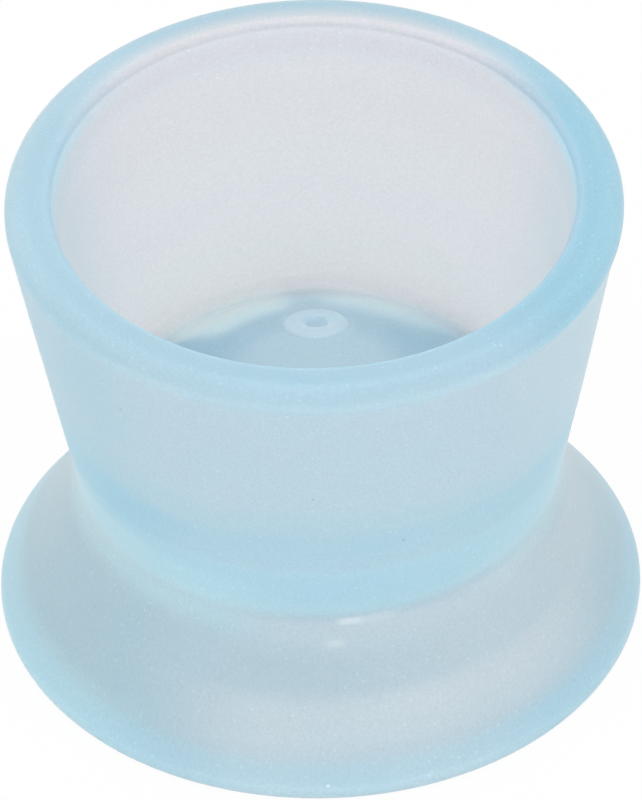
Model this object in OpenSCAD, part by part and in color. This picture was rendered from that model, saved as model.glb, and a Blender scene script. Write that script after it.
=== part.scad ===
// Resin mixing cup: a soft silicone bowl that stands on a flared, hollow foot.
// The cup's axis is the Z axis, and Z = 0 is the plane that the foot stands on.
// Every curve is an arc of the cup's half section, which is turned about the axis.

/* [Rim and wall] */
// Widest diameter of the rim
rim_d = 42; // [39:0.5:48]
// Height of the cup from the foot to the rim
cup_h = 36; // [32:0.5:44]
// Width of the rim from the outside to the inside of the wall
rim_w = 3.2; // [2.6:0.1:4]
// Thickness of the wall at the waist
wall_foot_t = 3.4; // [2.8:0.1:4]
// Radius of the rim's outer edge
rim_outer_round = 1.4; // [0.6:0.1:1.6]
// Radius of the rim's inner edge
rim_inner_round = 0.6; // [0.3:0.1:0.9]

/* [Waist] */
// Diameter of the corner where the wall would meet the foot
waist_d = 33; // [31:0.5:36]
// Height of that corner above the foot
waist_h = 12; // [10.5:0.5:13]
// Radius of the hollow curve that softens the corner
waist_round = 2.4; // [1:0.2:3.6]

/* [Floor] */
// Height of the middle of the floor above the plane that the foot stands on
floor_h = 19.8; // [18.5:0.1:21.5]
// Radius of the floor's domed upper face
floor_r = 22; // [20:0.5:30]
// Thickness of the floor
floor_t = 3; // [2:0.1:3.6]
// Radius of the corner between the floor and the wall
floor_round = 0.8; // [0.4:0.1:2]

/* [Foot] */
// Widest diameter of the foot
foot_d = 44; // [42:0.5:50]
// Radius of the foot's outer edge
foot_edge_round = 0.8; // [0.4:0.1:1.2]
// Radius of the hollow curve of the skirt, from the waist to the edge
skirt_flare_r = 28; // [22:1:60]
// Thickness of the skirt
skirt_t = 2.6; // [1.8:0.1:3]
// Width of the flat ring that the cup stands on, with the edge round
foot_ring_w = 3; // [2.4:0.1:4]
// Radius of the corner between the skirt and the underside of the floor
hollow_round = 2; // [0.8:0.1:3]

/* [Moulding mark on the floor] */
// Diameter of the raised disc that the mould leaves
mark_d = 4.8; // [3:0.1:6]
// Height of the disc above the floor
mark_proud = 0.2; // [0.1:0.05:0.5]
// Width of the slope round the disc
mark_slope_w = 0.35; // [0.1:0.05:0.6]
// Diameter of the dimple in the disc
dimple_d = 2; // [1:0.1:2.6]
// Depth of the dimple below the top of the disc
dimple_depth = 0.4; // [0.2:0.05:0.8]
// Distance of the mark from the middle of the floor, towards +Y
mark_offset = 5.9; // [0:0.1:8]

/* [Hidden] */
$fn = 96;
silicone = [0.70, 0.84, 0.90];

// A length beyond every part of the section
beyond = 2 * cup_h;

// Direction of the straight line that leaves point a and just touches a circle,
// where side is 1 if the line passes the centre on its right hand and -1 on its left
function touch_angle(a, centre, r, side) =
    atan2(centre.y - a.y, centre.x - a.x) + side * asin(r / norm(centre - a));
// Unit vector at an angle
function unit(angle) = [cos(angle), sin(angle)];
// Point where that line touches the circle
function touch_point(a, centre, r, side) =
    a + sqrt(pow(norm(centre - a), 2) - r * r) * unit(touch_angle(a, centre, r, side));
// Point at distance ra from a and rb from b, on the left of the way from a to b if side is 1
function meet(a, ra, b, rb, side) =
    let (
        gap = norm(b - a),
        along = (gap * gap + ra * ra - rb * rb) / (2 * gap),
        across = sqrt(ra * ra - along * along),
        way = (b - a) / gap
    )
    a + along * way + side * across * [-way.y, way.x];
// Point of the line through a along way that lies at distance r from centre:
// the later one on the way if side is 1, and the earlier one if side is -1
function reach(a, way, centre, r, side) =
    let (
        q = a - centre,
        b = q * way
    )
    a + (side * sqrt(b * b - q * q + r * r) - b) * way;
// Point of a circle's edge on the way from its centre to p
function edge_towards(centre, r, p) = centre + r * (p - centre) / norm(p - centre);

// Corner points of the half section, each as [distance from the axis, height]
waist = [waist_d / 2, waist_h];
rim_outer = [rim_d / 2 - rim_outer_round, cup_h - rim_outer_round];
rim_inner = [rim_d / 2 - rim_w + rim_inner_round, cup_h - rim_inner_round];
lining_start = waist - [wall_foot_t, 0];
foot_edge = [foot_d / 2 - foot_edge_round, foot_edge_round];

// Outer and inner lines of the wall
wall_way = unit(touch_angle(waist, rim_outer, rim_outer_round, -1));
wall_top = touch_point(waist, rim_outer, rim_outer_round, -1);
lining_way = unit(touch_angle(lining_start, rim_inner, rim_inner_round, 1));
lining_top = touch_point(lining_start, rim_inner, rim_inner_round, 1);

// Domed floor: the centre of its upper face, and the radius of its ceiling about it
dome = [0, floor_h - floor_r];
ceiling_r = floor_r - floor_t;

// Skirt: one arc outside and a larger one inside, about one centre beyond the foot
flare = meet(foot_edge, skirt_flare_r + foot_edge_round, waist, skirt_flare_r, -1);
skirt_foot = edge_towards(foot_edge, foot_edge_round, flare);
lining_flare_r = skirt_flare_r + skirt_t;
mouth_r = foot_d / 2 - foot_ring_w;

// Arc that softens the waist, and where it touches the skirt and the wall
waist_arc = reach(
    waist + waist_round * [wall_way.y, -wall_way.x],
    wall_way, flare, skirt_flare_r - waist_round, -1
);
skirt_top = edge_towards(flare, skirt_flare_r, waist_arc);
wall_foot = waist_arc + waist_round * [-wall_way.y, wall_way.x];

// Arc that rounds the edge of the floor, and where it touches the floor and the lining
floor_arc = reach(
    lining_start + floor_round * [-lining_way.y, lining_way.x],
    lining_way, dome, floor_r + floor_round, 1
);
floor_rim = edge_towards(dome, floor_r, floor_arc);
lining_foot = floor_arc + floor_round * [lining_way.y, -lining_way.x];

// Arc that rounds the top of the hollow, and where it touches the skirt and the ceiling
hollow_arc = meet(
    flare, lining_flare_r + hollow_round,
    dome, ceiling_r - hollow_round, -1
);
hollow_side = edge_towards(flare, lining_flare_r, hollow_arc);
ceiling_rim = edge_towards(dome, ceiling_r, hollow_arc);

// Everything inside the cup's outer outline
module outline() {
    difference() {
        polygon([
            [0, 0],
            [foot_edge.x, 0],
            skirt_foot,
            skirt_top,
            wall_foot,
            wall_top,
            [rim_outer.x, cup_h],
            [0, cup_h]
        ]);
        intersection() {
            translate(flare) circle(skirt_flare_r);
            square([beyond, skirt_top.y]);
        }
        translate(waist_arc) circle(waist_round);
    }
    translate(foot_edge) circle(foot_edge_round);
    translate(rim_outer) circle(rim_outer_round);
}

// Space inside the cup, down to the domed floor
module cavity() {
    difference() {
        polygon([
            [0, floor_rim.y],
            floor_rim,
            lining_foot,
            lining_top,
            [rim_inner.x, cup_h],
            [rim_inner.x, beyond],
            [0, beyond]
        ]);
        translate(dome) circle(floor_r);
    }
    translate(floor_arc) circle(floor_round);
}

// Space under the floor, open below
module hollow() {
    intersection() {
        translate(dome) circle(ceiling_r);
        square([ceiling_rim.x, beyond]);
    }
    difference() {
        polygon([
            [0, 0],
            [mouth_r, 0],
            [mouth_r, hollow_side.y],
            hollow_side,
            ceiling_rim,
            [0, ceiling_rim.y]
        ]);
        translate(flare) circle(lining_flare_r);
    }
    translate(hollow_arc) circle(hollow_round);
}

// Half section of the whole cup
module section() {
    difference() {
        outline();
        cavity();
        hollow();
    }
    translate(rim_inner) circle(rim_inner_round);
}

// Places something on the floor at the mark, with its Z axis square to the floor
module at_mark() {
    translate([0, 0, dome.y])
        rotate([-asin(mark_offset / floor_r), 0, 0])
            translate([0, 0, floor_r])
                children();
}

// Raised disc of the mark, with its root in the floor
module mark_disc() {
    slope_r = mark_d / 2 - mark_slope_w;
    cylinder(h = mark_proud, r1 = mark_d / 2, r2 = slope_r);
    translate([0, 0, -floor_t / 2])
        cylinder(h = floor_t / 2, r = mark_d / 2);
}

// Round dimple of the mark, as the ball that presses it
module dimple_ball() {
    ball_r = (pow(dimple_d / 2, 2) + pow(dimple_depth, 2)) / (2 * dimple_depth);
    translate([0, 0, mark_proud + ball_r - dimple_depth]) sphere(ball_r);
}

// Wall and floor, from the waist up
module bowl() {
    color(silicone)
        difference() {
            union() {
                rotate_extrude()
                    intersection() {
                        section();
                        translate([0, waist_h]) square(beyond);
                    }
                at_mark() mark_disc();
            }
            at_mark() dimple_ball();
        }
}

// Flared hollow skirt, from the standing ring up to the waist
module foot() {
    color(silicone)
        rotate_extrude()
            intersection() {
                section();
                square([beyond, waist_h]);
            }
}

bowl();
foot();
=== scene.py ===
"""Resin mixing cup: its silicone skin, the studio round it and the photograph's camera.

One seamless skin stands for the two solids, bowl and foot, because the real cup is a single
moulding. The skin follows the same half section as the solids. Sizes are metres in the part's
own frame: +Z up along the cup's axis, Z = 0 under the foot, -Y towards the camera.
"""

import logging
import math
from dataclasses import dataclass, field
from enum import Enum
from typing import Any, Iterable, Mapping, Sequence

import bmesh
import bpy
from mathutils import Matrix, Vector


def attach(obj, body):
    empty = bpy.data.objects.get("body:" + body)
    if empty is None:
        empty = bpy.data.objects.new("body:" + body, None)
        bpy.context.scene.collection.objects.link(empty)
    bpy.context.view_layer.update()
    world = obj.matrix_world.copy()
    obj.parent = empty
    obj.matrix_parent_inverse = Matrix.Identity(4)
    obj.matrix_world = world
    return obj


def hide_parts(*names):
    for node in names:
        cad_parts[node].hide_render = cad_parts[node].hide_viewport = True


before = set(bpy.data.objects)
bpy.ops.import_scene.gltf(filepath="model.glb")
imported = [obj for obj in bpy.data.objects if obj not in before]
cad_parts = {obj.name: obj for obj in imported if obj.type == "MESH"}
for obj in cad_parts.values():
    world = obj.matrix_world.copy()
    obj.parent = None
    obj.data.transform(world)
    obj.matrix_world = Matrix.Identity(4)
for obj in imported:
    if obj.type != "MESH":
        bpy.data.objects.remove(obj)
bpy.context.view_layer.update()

MM = 0.001
SEAM = 0.001 * MM  # distance at which the skin's first and last column, and its poles, join
LOG = logging.getLogger("mixing_cup")

Socket = bpy.types.NodeSocket
Value = float | Socket
Colour = tuple[float, float, float]
Place = tuple[float, float, float]
Spot = tuple[float, float]

NOISE_MEAN = 0.5  # a noise texture's middle value
FLOAT = "NodeSocketFloat"
VECTOR = "NodeSocketVector"
GEOMETRY = "NodeSocketGeometry"


def linear(red: int, green: int, blue: int) -> Colour:
    """Turns a colour of 0 to 255 as a screen shows it into linear light.

    Args:
        red: Red, 0 to 255.
        green: Green, 0 to 255.
        blue: Blue, 0 to 255.

    Returns:
        The three linear values, 0 to 1.
    """

    def channel(value: int) -> float:
        """One channel, by the standard curve of screens."""
        part = value / 255
        return part / 12.92 if part <= 0.04045 else ((part + 0.055) / 1.055) ** 2.4

    return channel(red), channel(green), channel(blue)


class Trait(Enum):
    """What the skin's vertices know about the rubber behind them."""

    DEPTH = "rubber_depth"
    MILK = "milky_light"
    GLOSS = "mould_gloss"
    INSIDE = "cup_inside"
    MARK = "mould_mark"


class Graph:
    """A node tree that is filled one node at a time."""

    def __init__(self, tree: bpy.types.NodeTree) -> None:
        """Keeps the tree, with its old nodes removed."""
        self.tree = tree
        tree.nodes.clear()

    def add(
        self, kind: str, inputs: Mapping[str | int, Any] | None = None, **settings: Any
    ) -> bpy.types.Node:
        """Adds a node.

        Args:
            kind: Blender's name of the node type.
            inputs: Values or sockets for the node's inputs, by name or number.
            **settings: Properties of the node.

        Returns:
            The new node.
        """
        node = self.tree.nodes.new(kind)
        for name, value in settings.items():
            setattr(node, name, value)
        for key, value in (inputs or {}).items():
            self.feed(node.inputs[key], value)
        return node

    def feed(self, socket: Socket, value: Any) -> None:
        """Links the socket if the value is a socket, and sets it otherwise."""
        if isinstance(value, bpy.types.NodeSocket):
            self.tree.links.new(value, socket)
        else:
            socket.default_value = value

    def math(self, operation: str, a: Value, b: Value = 0.0, clamp: bool = False) -> Socket:
        """Adds a Math node.

        Args:
            operation: Blender's name of the operation.
            a: First operand.
            b: Second operand, where the operation has one.
            clamp: Whether the result is kept within 0 to 1.

        Returns:
            The result's socket.
        """
        return self.add("ShaderNodeMath", {0: a, 1: b}, operation=operation, use_clamp=clamp).outputs[0]

    def vector(self, operation: str, a: Any, b: Any = (0.0, 0.0, 0.0)) -> bpy.types.Node:
        """Adds a Vector Math node and returns it."""
        return self.add("ShaderNodeVectorMath", {0: a, 1: b}, operation=operation)

    def use(self, group: bpy.types.NodeTree, inputs: Mapping[str, Any], label: str = "") -> Any:
        """Places a shader group with these inputs and returns its output sockets."""
        return self.add("ShaderNodeGroup", inputs, node_tree=group, label=label).outputs

    def result(self, outputs: Mapping[str, Socket]) -> bpy.types.NodeTree:
        """Ends a group with its outputs and returns its tree."""
        self.add("NodeGroupOutput", outputs)
        return self.tree

    def change(self, kind: str, geometry: Socket, **inputs: Any) -> Socket:
        """Adds a node that changes a geometry and returns the new geometry's socket."""
        return self.add(kind, {"Geometry": geometry, **inputs}).outputs["Geometry"]

    def move(self, skin: Socket, way: Socket, amount: Socket) -> Socket:
        """Moves each point that far along a vector and returns the geometry's socket."""
        return self.change("GeometryNodeSetPosition", skin, Offset=self.scaled(way, amount))

    def position(self) -> Socket:
        """Returns the socket of the place of each point of a geometry."""
        return self.add("GeometryNodeInputPosition").outputs["Position"]

    def known(self, trait: Trait) -> Socket:
        """Returns the socket of a trait as the points of a geometry know it."""
        node = self.add("GeometryNodeInputNamedAttribute", {"Name": trait.value}, data_type="FLOAT")
        return node.outputs["Attribute"]

    def less(self, a: Value, b: Value, clamp: bool = False) -> Socket:
        """Takes b from a and returns the result's socket."""
        return self.math("SUBTRACT", a, b, clamp=clamp)

    def product(self, first: Value, *others: Value) -> Socket:
        """Multiplies all the values and returns the result's socket."""
        for other in others:
            first = self.math("MULTIPLY", first, other)
        return first

    def scaled(self, way: Socket, factor: Value) -> Socket:
        """Multiplies a vector by a number and returns the result's socket."""
        return self.add("ShaderNodeVectorMath", {0: way, "Scale": factor}, operation="SCALE").outputs[0]

    def height(self, place: Socket) -> Socket:
        """Returns the socket of a place's height."""
        return self.add("ShaderNodeSeparateXYZ", {0: place}).outputs["Z"]

    def flat(self, place: Socket) -> Socket:
        """Returns the socket of the level vector from the axis to a place."""
        return self.vector("MULTIPLY", place, (1.0, 1.0, 0.0)).outputs[0]

    def ramp(
        self, value: Value, low: Value, high: Value, start: Value = 0.0, end: Value = 1.0
    ) -> Socket:
        """Maps a value smoothly from the range low to high onto start to end.

        Args:
            value: What is mapped.
            low: Value that gives start.
            high: Value that gives end.
            start: Result at and below low.
            end: Result at and above high.

        Returns:
            The result's socket.
        """
        wanted = {"Value": value, "From Min": low, "From Max": high, "To Min": start, "To Max": end}
        return self.add("ShaderNodeMapRange", wanted, interpolation_type="SMOOTHSTEP").outputs["Result"]

    def edge(self, value: Value, middle: Value, width: Value, start: float, end: float) -> Socket:
        """Maps a value smoothly from start to end over a width about a middle."""
        half = self.product(width, 0.5)
        return self.ramp(value, self.less(middle, half), self.math("ADD", middle, half), start, end)

    def blend(self, factor: Value, a: Any, b: Any, mode: str = "MIX") -> Socket:
        """Mixes two colours.

        Args:
            factor: Share of the second colour.
            a: First colour, or its socket.
            b: Second colour, or its socket.
            mode: Blender's name of the way they are mixed.

        Returns:
            The result's socket.
        """
        node = self.add("ShaderNodeMix", data_type="RGBA", blend_type=mode)
        self.feed(node.inputs["Factor"], factor)
        self.feed(node.inputs["A"], a if isinstance(a, bpy.types.NodeSocket) else (*a, 1.0))
        self.feed(node.inputs["B"], b if isinstance(b, bpy.types.NodeSocket) else (*b, 1.0))
        return node.outputs["Result"]


def new_group(
    name: str, kind: str, inputs: Mapping[str, Any], outputs: Mapping[str, str]
) -> tuple[Graph, Any]:
    """Makes a node group with named sockets.

    Args:
        name: The group's name.
        kind: GeometryNodeTree or ShaderNodeTree.
        inputs: Each input's name, with its default value or else its socket type.
        outputs: Each output's name and socket type.

    Returns:
        The group's tree with its input node, and that node's sockets.
    """
    tree = bpy.data.node_groups.new(name, kind)
    kinds = {float: FLOAT, int: "NodeSocketInt", Vector: VECTOR, bpy.types.Material: "NodeSocketMaterial"}
    for label, given in inputs.items():
        socket_type = kinds.get(type(given), given)
        socket = tree.interface.new_socket(name=label, in_out="INPUT", socket_type=socket_type)
        if type(given) in kinds:
            socket.default_value = given
    for label, socket_type in outputs.items():
        tree.interface.new_socket(name=label, in_out="OUTPUT", socket_type=socket_type)
    graph = Graph(tree)
    return graph, graph.add("NodeGroupInput").outputs


@dataclass(frozen=True)
class Key:
    """The look of the rubber at one place along a stretch of the section.

    Attributes:
        at: Place along the stretch, 0 to 1.
        depth: How thick and so how blue the rubber looks, 0 to 1.
        milk: How milky it looks from light that fills it, 0 to 1.
        gloss: How polished the mould was there, 0 to 1.
    """

    at: float
    depth: float
    milk: float = 0.0
    gloss: float = 0.0


def keys(*rows: tuple[float, ...]) -> tuple[Key, ...]:
    """Makes keys from rows of place, depth, milk and gloss."""
    return tuple(Key(*row) for row in rows)


# The look along each stretch of the half section
LOOKS = {
    "ceiling": keys((0, 0.6, 0.2), (1, 0.8, 0.2)),
    "hollow_top": keys((0, 0.8, 0.2), (1, 0.6, 0.2)),
    "skirt_lining": keys((0, 0.6, 0.2), (0.3, 0.25, 0.15), (0.8, 0.25, 0.15), (1, 0.6, 0.15)),
    "mouth": keys((0, 0.6, 0.15), (1, 0.7, 0.15)),
    "standing_ring": keys((0, 0.7, 0.15), (1, 0.8, 0.15)),
    "foot_edge": keys((0, 0.8, 0.22), (1, 0.85, 0.22)),
    "skirt": keys(
        (0, 0.85, 0.22), (0.08, 0.8, 0.2), (0.19, 0.3, 0.0), (0.5, 0.25, 0.0),
        (0.8, 0.25, 0.02), (0.92, 0.3, 0.12), (1, 0.45, 0.24),
    ),
    "waist": keys((0, 0.45, 0.24), (0.6, 0.5, 0.27), (1, 0.85, 0.28)),
    # Low on the wall, the dip in milk is a painted dark line: the shade of the bowl's floor corner seen
    # through the rubber
    "wall": keys(
        (0, 0.85, 0.28), (0.02, 0.95, 0.29), (0.05, 1.0, 0.2), (0.2, 1.0, 0.2), (0.26, 0.95, 0.14),
        (0.33, 0.85, 0.3), (0.45, 0.8, 0.38), (0.95, 0.8, 0.4), (1, 0.9, 0.36),
    ),
    "rim_edge": keys((0, 0.9, 0.36), (0.5, 0.9, 0.34), (1, 1.0, 0.24)),
    "rim_face": keys((0, 1.0, 0.24), (1, 1.0, 0.24)),
    "rim_lip": keys((0, 1.0, 0.18), (1, 0.95, 0.1)),
    "lining": keys(
        (0, 0.95, 0.12), (0.08, 0.85, 0.28), (0.18, 0.8, 0.46), (0.6, 0.8, 0.6),
        (0.9, 0.6, 0.85), (1, 0.6, 0.9, 0.1),
    ),
    "floor_corner": keys((0, 0.6, 0.85, 0.1), (1, 0.6, 0.72, 0.6)),
    "floor": keys(
        (0, 0.6, 0.65, 0.6), (0.12, 0.7, 0.4, 1), (0.3, 0.62, 0.0, 1), (0.5, 0.6, 0.0, 1),
        (0.65, 0.22, 0.0, 1), (1, 0.15, 0.0, 1),
    ),
}
# The stretches that lie inside the bowl
INSIDE = {"rim_lip", "lining", "floor_corner", "floor"}


@dataclass
class Stretch:
    """A line or arc of the half section.

    Attributes:
        name: What the stretch is on the cup, as LOOKS and INSIDE name it.
        points: Points as distance from the axis and height.
    """

    name: str
    points: list[Spot]

    def look(self, at: float) -> Key:
        """Finds the look at a place along the stretch, between its nearest keys.

        Args:
            at: The place, 0 to 1.

        Returns:
            The look there.
        """
        before = [key for key in LOOKS[self.name] if key.at <= at][-1]
        after = [key for key in LOOKS[self.name] if key.at >= at][0]
        if after.at <= before.at:
            return before
        part = (at - before.at) / (after.at - before.at)
        part = part * part * (3 - 2 * part)  # starts and ends gently
        return Key(
            at,
            before.depth + part * (after.depth - before.depth),
            before.milk + part * (after.milk - before.milk),
            before.gloss + part * (after.gloss - before.gloss),
        )


@dataclass(frozen=True)
class Arc:
    """A circle of the half section, of which the outline follows a part."""

    x: float
    z: float
    radius: float

    @property
    def centre(self) -> Vector:
        """The circle's centre."""
        return Vector((self.x, self.z))

    def towards(self, point: Vector) -> Vector:
        """The point of the circle on the way from its centre to another point."""
        return self.centre + (point - self.centre).normalized() * self.radius

    def walk(self, start: Vector, end: Vector, step: float) -> list[Spot]:
        """Points along the shorter way round the circle.

        Args:
            start: First point.
            end: Last point.
            step: Greatest distance between neighbours.

        Returns:
            The points, both ends included.
        """
        first = math.atan2(start.y - self.z, start.x - self.x)
        turn = math.atan2(end.y - self.z, end.x - self.x) - first
        turn = (turn + math.pi) % (2 * math.pi) - math.pi
        count = max(2, math.ceil(abs(turn) * self.radius / step))
        angles = (first + turn * i / count for i in range(count + 1))
        return [(self.x + self.radius * math.cos(a), self.z + self.radius * math.sin(a)) for a in angles]


def straight(start: Vector, end: Vector, step: float) -> list[Spot]:
    """Points along a straight line, both ends included, no further apart than step."""
    count = max(1, math.ceil((end - start).length / step))
    return [tuple(start.lerp(end, i / count)) for i in range(count + 1)]


def touch(start: Vector, arc: Arc, side: int) -> Vector:
    """Finds where a straight line from a point just touches a circle.

    Args:
        start: The line's first point.
        arc: The circle.
        side: 1 if the line passes the centre on its right hand, -1 on its left.

    Returns:
        The point of contact.
    """
    way = arc.centre - start
    angle = math.atan2(way.y, way.x) + side * math.asin(arc.radius / way.length)
    length = math.sqrt(way.length_squared - arc.radius**2)
    return start + length * Vector((math.cos(angle), math.sin(angle)))


def meet(a: Vector, ra: float, b: Vector, rb: float) -> Vector:
    """Finds the point at given distances from two others, on the right of the way between them.

    Args:
        a: First point.
        ra: Distance from it.
        b: Second point.
        rb: Distance from that.

    Returns:
        The point.
    """
    gap = (b - a).length
    along = (gap * gap + ra * ra - rb * rb) / (2 * gap)
    way = (b - a) / gap
    return a + along * way - math.sqrt(ra * ra - along * along) * Vector((-way.y, way.x))


def reach(start: Vector, way: Vector, centre: Vector, radius: float, side: int) -> Vector:
    """Finds the point of a straight line at a distance from a centre.

    Args:
        start: A point of the line.
        way: The line's direction, of length 1.
        centre: The centre.
        radius: The distance.
        side: 1 for the later of the two points on the way, -1 for the earlier.

    Returns:
        The point.
    """
    offset = start - centre
    b = offset.dot(way)
    return start + (side * math.sqrt(b * b - offset.length_squared + radius**2) - b) * way


@dataclass(frozen=True)
class CupSection:
    """The cup's half section, from the same sizes as the solids."""

    rim_r: float = 21 * MM
    height: float = 36 * MM
    rim_w: float = 3.2 * MM
    wall_foot_t: float = 3.4 * MM
    rim_outer_round: float = 1.4 * MM
    rim_inner_round: float = 0.6 * MM
    waist_r: float = 16.5 * MM
    waist_h: float = 12 * MM
    waist_round: float = 2.4 * MM
    floor_h: float = 19.8 * MM
    floor_r: float = 22 * MM
    floor_t: float = 3 * MM
    floor_round: float = 0.8 * MM
    foot_r: float = 21.99 * MM  # a hair less than the solids' 22 mm, to stay inside their box
    foot_edge_round: float = 0.8 * MM
    skirt_flare_r: float = 28 * MM
    skirt_t: float = 2.6 * MM
    foot_ring_w: float = 3 * MM
    hollow_round: float = 2 * MM
    fine_step: float = 0.14 * MM
    plain_step: float = 0.5 * MM
    plain_wall: float = 0.92  # share of the wall, from the waist up, that has plain steps

    def stretches(self) -> list[Stretch]:
        """Lays the outline out from the middle of the ceiling to the middle of the floor.

        Returns:
            The stretches in order, each starting where the last one ends.
        """
        waist = Vector((self.waist_r, self.waist_h))
        rim_out = Arc(
            self.rim_r - self.rim_outer_round,
            self.height - self.rim_outer_round,
            self.rim_outer_round,
        )
        rim_in = Arc(
            self.rim_r - self.rim_w + self.rim_inner_round,
            self.height - self.rim_inner_round,
            self.rim_inner_round,
        )
        edge = Arc(self.foot_r - self.foot_edge_round, self.foot_edge_round, self.foot_edge_round)
        lining_start = waist - Vector((self.wall_foot_t, 0))
        wall_top = touch(waist, rim_out, -1)
        lining_top = touch(lining_start, rim_in, 1)
        wall_way = (wall_top - waist).normalized()
        lining_way = (lining_top - lining_start).normalized()

        dome = Arc(0, self.floor_h - self.floor_r, self.floor_r)
        ceiling = Arc(0, dome.z, self.floor_r - self.floor_t)
        flare_centre = meet(edge.centre, self.skirt_flare_r + edge.radius, waist, self.skirt_flare_r)
        flare = Arc(flare_centre.x, flare_centre.y, self.skirt_flare_r)
        lining_flare = Arc(flare.x, flare.z, self.skirt_flare_r + self.skirt_t)
        mouth_r = self.foot_r - self.foot_ring_w
        mouth_h = flare.z - math.sqrt(lining_flare.radius**2 - (flare.x - mouth_r) ** 2)

        waist_centre = reach(
            waist + self.waist_round * Vector((wall_way.y, -wall_way.x)),
            wall_way, flare.centre, flare.radius - self.waist_round, -1,
        )
        waist_arc = Arc(waist_centre.x, waist_centre.y, self.waist_round)
        floor_centre = reach(
            lining_start + self.floor_round * Vector((-lining_way.y, lining_way.x)),
            lining_way, dome.centre, dome.radius + self.floor_round, 1,
        )
        floor_arc = Arc(floor_centre.x, floor_centre.y, self.floor_round)
        hollow_centre = meet(
            flare.centre, lining_flare.radius + self.hollow_round,
            dome.centre, ceiling.radius - self.hollow_round,
        )
        hollow_arc = Arc(hollow_centre.x, hollow_centre.y, self.hollow_round)

        ceiling_top = Vector((0, dome.z + ceiling.radius))
        ceiling_rim = ceiling.towards(hollow_arc.centre)
        hollow_side = lining_flare.towards(hollow_arc.centre)
        mouth_top = Vector((mouth_r, mouth_h))
        mouth = Vector((mouth_r, 0))
        edge_foot = Vector((edge.x, 0))
        skirt_foot = edge.towards(flare.centre)
        skirt_top = flare.towards(waist_arc.centre)
        wall_foot = waist_arc.centre + self.waist_round * Vector((-wall_way.y, wall_way.x))
        face_out = Vector((rim_out.x, self.height))
        face_in = Vector((rim_in.x, self.height))
        lining_foot = floor_arc.centre + self.floor_round * Vector((lining_way.y, -lining_way.x))
        floor_rim = dome.towards(floor_arc.centre)
        floor_top = Vector((0, self.floor_h))
        fine, plain = self.fine_step, self.plain_step
        edge_walk = edge.walk(edge_foot, Vector((self.foot_r, edge.z)), fine)
        edge_walk += edge.walk(Vector((self.foot_r, edge.z)), skirt_foot, fine)[1:]
        wall_end = wall_foot.lerp(wall_top, self.plain_wall)
        wall = straight(wall_foot, wall_end, plain) + straight(wall_end, wall_top, fine)[1:]
        walks = {
            "ceiling": ceiling.walk(ceiling_top, ceiling_rim, plain),
            "hollow_top": hollow_arc.walk(ceiling_rim, hollow_side, 2 * fine),
            "skirt_lining": lining_flare.walk(hollow_side, mouth_top, plain),
            "mouth": straight(mouth_top, mouth, 2 * fine),
            "standing_ring": straight(mouth, edge_foot, plain),
            "foot_edge": edge_walk,
            "skirt": flare.walk(skirt_foot, skirt_top, plain),
            "waist": waist_arc.walk(skirt_top, wall_foot, fine),
            "wall": wall,
            "rim_edge": rim_out.walk(wall_top, face_out, fine),
            "rim_face": straight(face_out, face_in, 2 * fine),
            "rim_lip": rim_in.walk(face_in, lining_top, fine),
            "lining": straight(lining_top, lining_foot, plain),
            "floor_corner": floor_arc.walk(lining_foot, floor_rim, fine),
            "floor": dome.walk(floor_rim, floor_top, fine),
        }
        return [Stretch(name, points) for name, points in walks.items()]


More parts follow.
